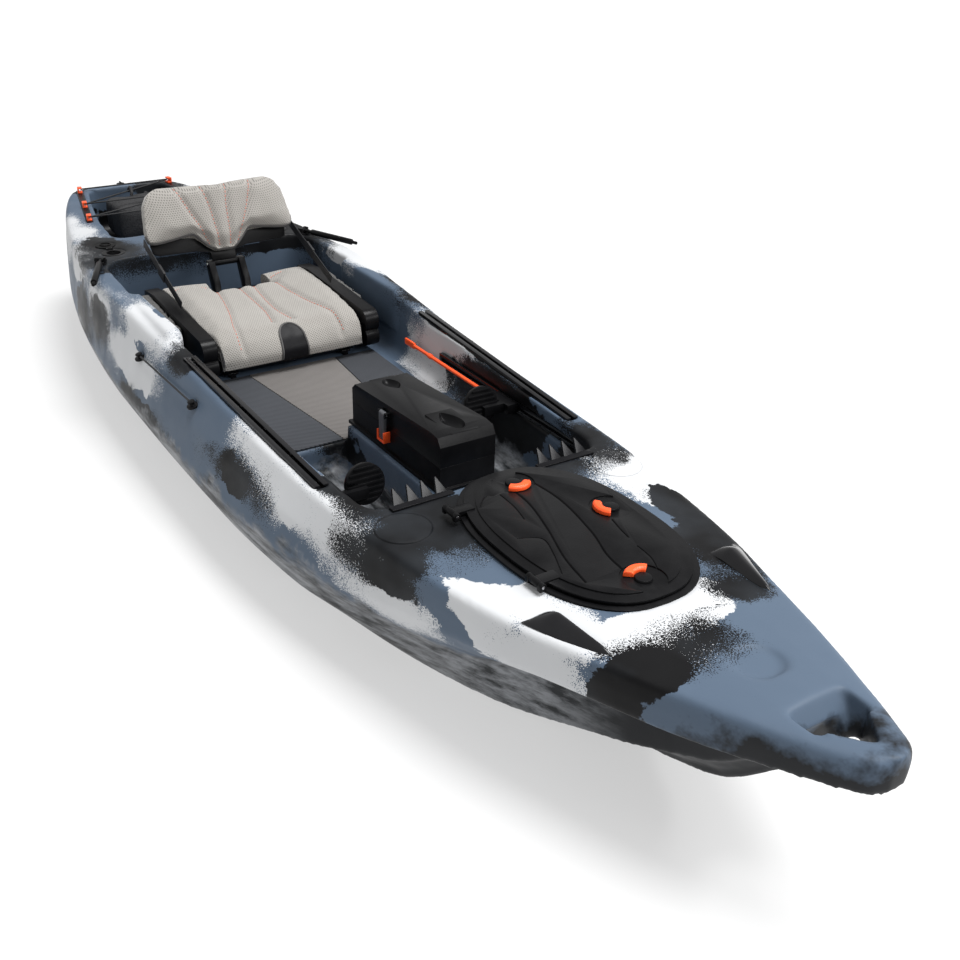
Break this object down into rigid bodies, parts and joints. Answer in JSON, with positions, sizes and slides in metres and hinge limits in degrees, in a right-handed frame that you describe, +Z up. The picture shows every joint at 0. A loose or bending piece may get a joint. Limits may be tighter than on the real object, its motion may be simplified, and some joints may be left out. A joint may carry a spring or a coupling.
{
  "type": "sit-on-top fishing kayak",
  "caption": "Moulded sit-on-top kayak with padded seat, foot braces, oval bow hatch, centre console, gear tracks, rod holders and a stern tank well.",
  "frame": {"origin": "on the floor under the middle of the hull: the centre of the bottom of the bounding box", "axes": "+X towards the bow, +Y towards the port side, +Z up"},
  "size_m": [3.505, 0.8638, 0.6096],
  "materials": {
    "hull_plastic": "rotomoulded polyethylene swirled in blue-grey, white and charcoal",
    "black_plastic": "satin black moulded plastic",
    "gloss_black": "glossy black moulded plastic",
    "track_black": "black anodised extrusion",
    "grey_plastic": "mid grey plastic",
    "orange_plastic": "bright orange plastic",
    "seal_rubber": "soft black rubber",
    "wheel_rubber": "hard rubber tread on a plastic hub",
    "steel": "stainless steel",
    "mat_taupe": "taupe foam matting with fine ribs",
    "mat_slate": "slate foam matting with fine ribs",
    "grey_mesh": "light grey spacer mesh with coral stitching and dark piping",
    "pocket_mesh": "dark grey gathered mesh",
    "bag_mesh": "black mesh and coated cloth",
    "webbing": "black polyester webbing",
    "shock_cord": "black braided shock cord"
  },
  "bodies": {
    "hull": {"hull": "hull_plastic", "hatch_rim": "black_plastic", "hatch_gasket": "seal_rubber", "hatch_hinge_pins": "steel", "gear_track_port": "track_black", "gear_track_stbd": "track_black", "track_screws": "steel", "bow_hood_port": "gloss_black", "bow_hood_stbd": "gloss_black", "lure_combs": "gloss_black", "brace_rail_port": "track_black", "brace_rail_stbd": "track_black", "console_base": "black_plastic", "console_hinge_pin": "steel", "console_catch": "orange_plastic", "deck_mat_centre": "mat_taupe", "deck_mat_port": "mat_slate", "deck_mat_stbd": "mat_slate", "seat_rails": "track_black", "rod_holder_port": "black_plastic", "rod_holder_stbd": "black_plastic", "cap_hinge_pins": "steel", "lashing_bars": "black_plastic", "lashing_hooks": "orange_plastic", "stern_cord": "shock_cord", "gear_bag": "bag_mesh", "paddle_eyes": "black_plastic", "paddle_cord_port": "shock_cord", "paddle_cord_stbd": "shock_cord", "handle_brackets": "black_plastic", "wheel_axle": "steel", "drain_plug": "black_plastic"},
    "hatch_lid": {"hatch_lid": "black_plastic"},
    "latch_front": {"hatch_latch_front": "orange_plastic"},
    "latch_side": {"hatch_latch_side": "orange_plastic"},
    "latch_rear": {"hatch_latch_rear": "orange_plastic"},
    "pedal_port": {"pedal_port": "black_plastic"},
    "pedal_stbd": {"pedal_stbd": "black_plastic"},
    "rod_port": {"release_rod_port": "orange_plastic"},
    "rod_stbd": {"release_rod_stbd": "orange_plastic"},
    "console_lid": {"console_lid": "black_plastic", "console_latch_pin": "steel"},
    "console_latch": {"console_latch": "grey_plastic"},
    "seat": {"seat_pan": "black_plastic", "seat_bolster_port": "black_plastic", "seat_bolster_stbd": "black_plastic", "seat_cushion": "grey_mesh", "side_pocket_port": "pocket_mesh", "side_pocket_stbd": "pocket_mesh", "back_hinge_pin": "steel", "back_strap_port": "webbing", "back_strap_stbd": "webbing"},
    "backrest": {"back_frame": "black_plastic", "back_cushion": "grey_mesh"},
    "cap_port": {"rod_cap_port": "seal_rubber"},
    "cap_stbd": {"rod_cap_stbd": "seal_rubber"},
    "handle_port": {"side_handle_port": "black_plastic"},
    "handle_stbd": {"side_handle_stbd": "black_plastic"},
    "keel_wheel": {"keel_wheel": "wheel_rubber"}
  },
  "joints": [
    {"name": "hatch_lid_hinge", "type": "hinge", "parent": "hull", "child": "hatch_lid", "pos_m": [0.984, -0.17, 0.347], "axis": [1, 0, 0], "range_deg": [0, 105]},
    {"name": "latch_front_turn", "type": "hinge", "parent": "hatch_lid", "child": "latch_front", "pos_m": [1.188, 0, 0.3465], "axis": [0, 0, 1], "range_deg": [-90, 0]},
    {"name": "latch_side_turn", "type": "hinge", "parent": "hatch_lid", "child": "latch_side", "pos_m": [0.959, 0.11, 0.3465], "axis": [0, 0, 1], "range_deg": [-90, 0]},
    {"name": "latch_rear_turn", "type": "hinge", "parent": "hatch_lid", "child": "latch_rear", "pos_m": [0.78, 0, 0.3465], "axis": [0, 0, 1], "range_deg": [-90, 0]},
    {"name": "pedal_port_slide", "type": "slide", "parent": "hull", "child": "pedal_port", "axis": [1, 0, 0], "range_m": [-0.14, 0.22]},
    {"name": "pedal_stbd_slide", "type": "slide", "parent": "hull", "child": "pedal_stbd", "axis": [1, 0, 0], "range_m": [-0.33, 0.025]},
    {"name": "rod_port_turn", "type": "hinge", "parent": "pedal_port", "child": "rod_port", "pos_m": [0.325, 0.282, 0.28], "axis": [1, 0, 0], "range_deg": [0, 45], "stiffness_Nm_per_rad": 0.05},
    {"name": "rod_stbd_turn", "type": "hinge", "parent": "pedal_stbd", "child": "rod_stbd", "pos_m": [0.535, -0.282, 0.28], "axis": [-1, 0, 0], "range_deg": [0, 45], "stiffness_Nm_per_rad": 0.05},
    {"name": "console_lid_hinge", "type": "hinge", "parent": "hull", "child": "console_lid", "pos_m": [0.21, 0.079, 0.324], "axis": [-1, 0, 0], "range_deg": [0, 100]},
    {"name": "console_latch_hinge", "type": "hinge", "parent": "console_lid", "child": "console_latch", "pos_m": [0.378, -0.079, 0.358], "axis": [-1, 0, 0], "range_deg": [0, 110]},
    {"name": "seat_slide", "type": "slide", "parent": "hull", "child": "seat", "axis": [1, 0, 0], "range_m": [-0.06, 0.03]},
    {"name": "backrest_recline", "type": "hinge", "parent": "seat", "child": "backrest", "pos_m": [-0.735, 0, 0.3845], "axis": [0, 1, 0], "range_deg": [-25, 8]},
    {"name": "cap_port_hinge", "type": "hinge", "parent": "hull", "child": "cap_port", "pos_m": [-1.003, 0.26337, 0.38875], "axis": [0, 1, 0], "range_deg": [0, 180]},
    {"name": "cap_stbd_hinge", "type": "hinge", "parent": "hull", "child": "cap_stbd", "pos_m": [-1.003, -0.26337, 0.38875], "axis": [0, 1, 0], "range_deg": [0, 180]},
    {"name": "handle_port_hinge", "type": "hinge", "parent": "hull", "child": "handle_port", "pos_m": [-0.885, 0.32536, 0.396], "axis": [0.3746, -0.9272, 0], "range_deg": [0, 110]},
    {"name": "handle_stbd_hinge", "type": "hinge", "parent": "hull", "child": "handle_stbd", "pos_m": [-0.885, -0.32536, 0.396], "axis": [-0.3746, -0.9272, 0], "range_deg": [0, 110]},
    {"name": "keel_wheel_spin", "type": "hinge", "parent": "hull", "child": "keel_wheel", "pos_m": [-1.4905, 0, 0.049], "axis": [0, 1, 0], "continuous": true}
  ]
}
